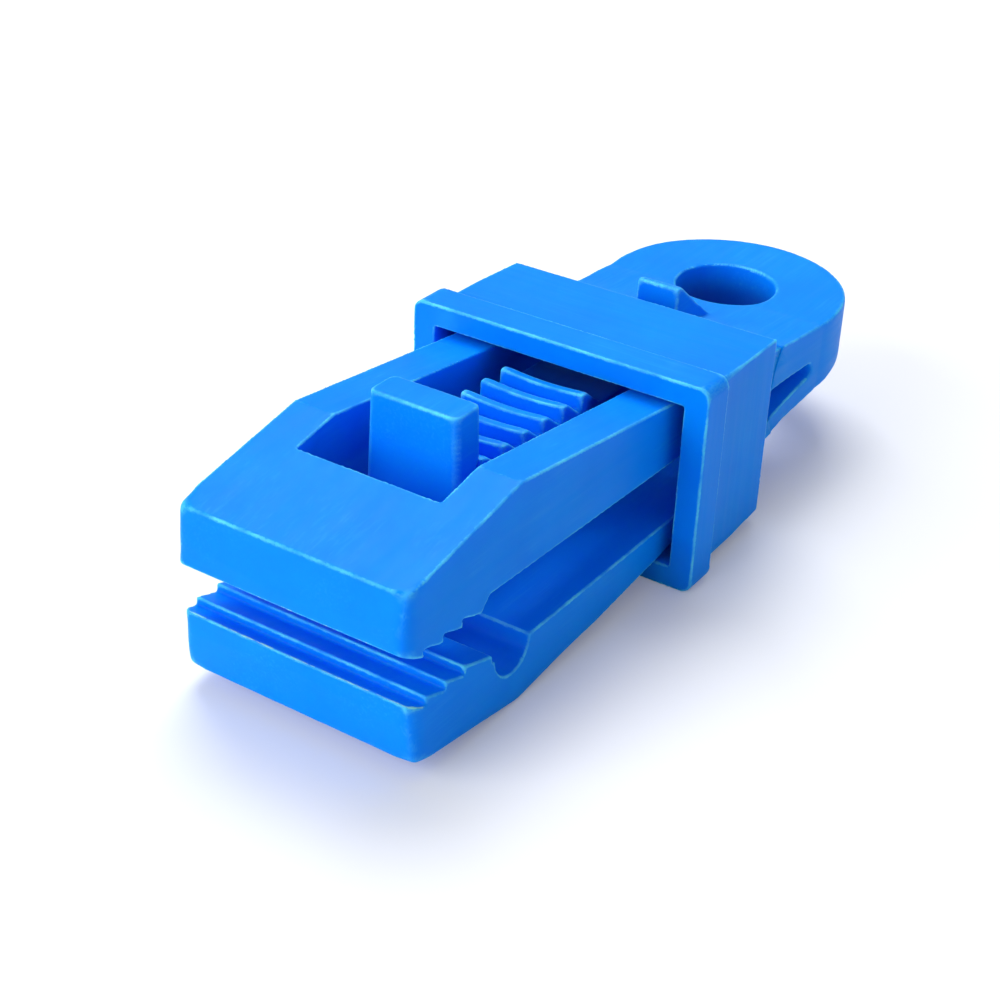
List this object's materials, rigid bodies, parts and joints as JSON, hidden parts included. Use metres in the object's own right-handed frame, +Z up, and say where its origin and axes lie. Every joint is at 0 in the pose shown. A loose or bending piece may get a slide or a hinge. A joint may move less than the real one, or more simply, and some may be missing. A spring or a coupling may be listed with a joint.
{
  "type": "tarp clip",
  "caption": "Moulded tarp clip with toothed spring jaws on an eye ring, a ratchet release tongue with thumb tab, and a sliding sleeve that closes and locks the jaws.",
  "frame": {"origin": "centre of the eye hole, on the mid-plane between the two jaws", "axes": "+Z up along the eye hole, +Y from the jaw tips to the eye, +X across the clip"},
  "size_m": [0.0316, 0.085, 0.0238],
  "materials": {
    "body_plastic": "satin",
    "sleeve_plastic": "satin"
  },
  "bodies": {
    "eye_ring": {"eye_ring": "body_plastic"},
    "upper_jaw": {"upper_jaw": "body_plastic"},
    "lower_jaw": {"lower_jaw": "body_plastic"},
    "release_tongue": {"release_tongue": "body_plastic"},
    "lock_sleeve": {"lock_sleeve": "sleeve_plastic"}
  },
  "joints": [
    {"name": "sleeve_slide", "type": "slide", "parent": "eye_ring", "child": "lock_sleeve", "axis": [0, -1, 0], "range_m": [-0.0026, 0.0138]},
    {"name": "upper_jaw_flex", "type": "hinge", "parent": "eye_ring", "child": "upper_jaw", "pos_m": [0, -0.0049, 0], "axis": [1, 0, 0], "range_deg": [-0.4, 1.9]},
    {"name": "lower_jaw_flex", "type": "hinge", "parent": "eye_ring", "child": "lower_jaw", "pos_m": [0, -0.0049, 0], "axis": [-1, 0, 0], "range_deg": [-0.4, 1.9]},
    {"name": "tongue_flex", "type": "hinge", "parent": "eye_ring", "child": "release_tongue", "pos_m": [0, -0.019, 0.00421], "axis": [1, 0, 0], "range_deg": [-1, 4.5], "stiffness_Nm_per_rad": 1.5}
  ],
  "couplings": [
    {"joint": "upper_jaw_flex", "follows": "sleeve_slide", "rad_per_m": 2.3398},
    {"joint": "lower_jaw_flex", "follows": "sleeve_slide", "rad_per_m": 2.3398}
  ]
}
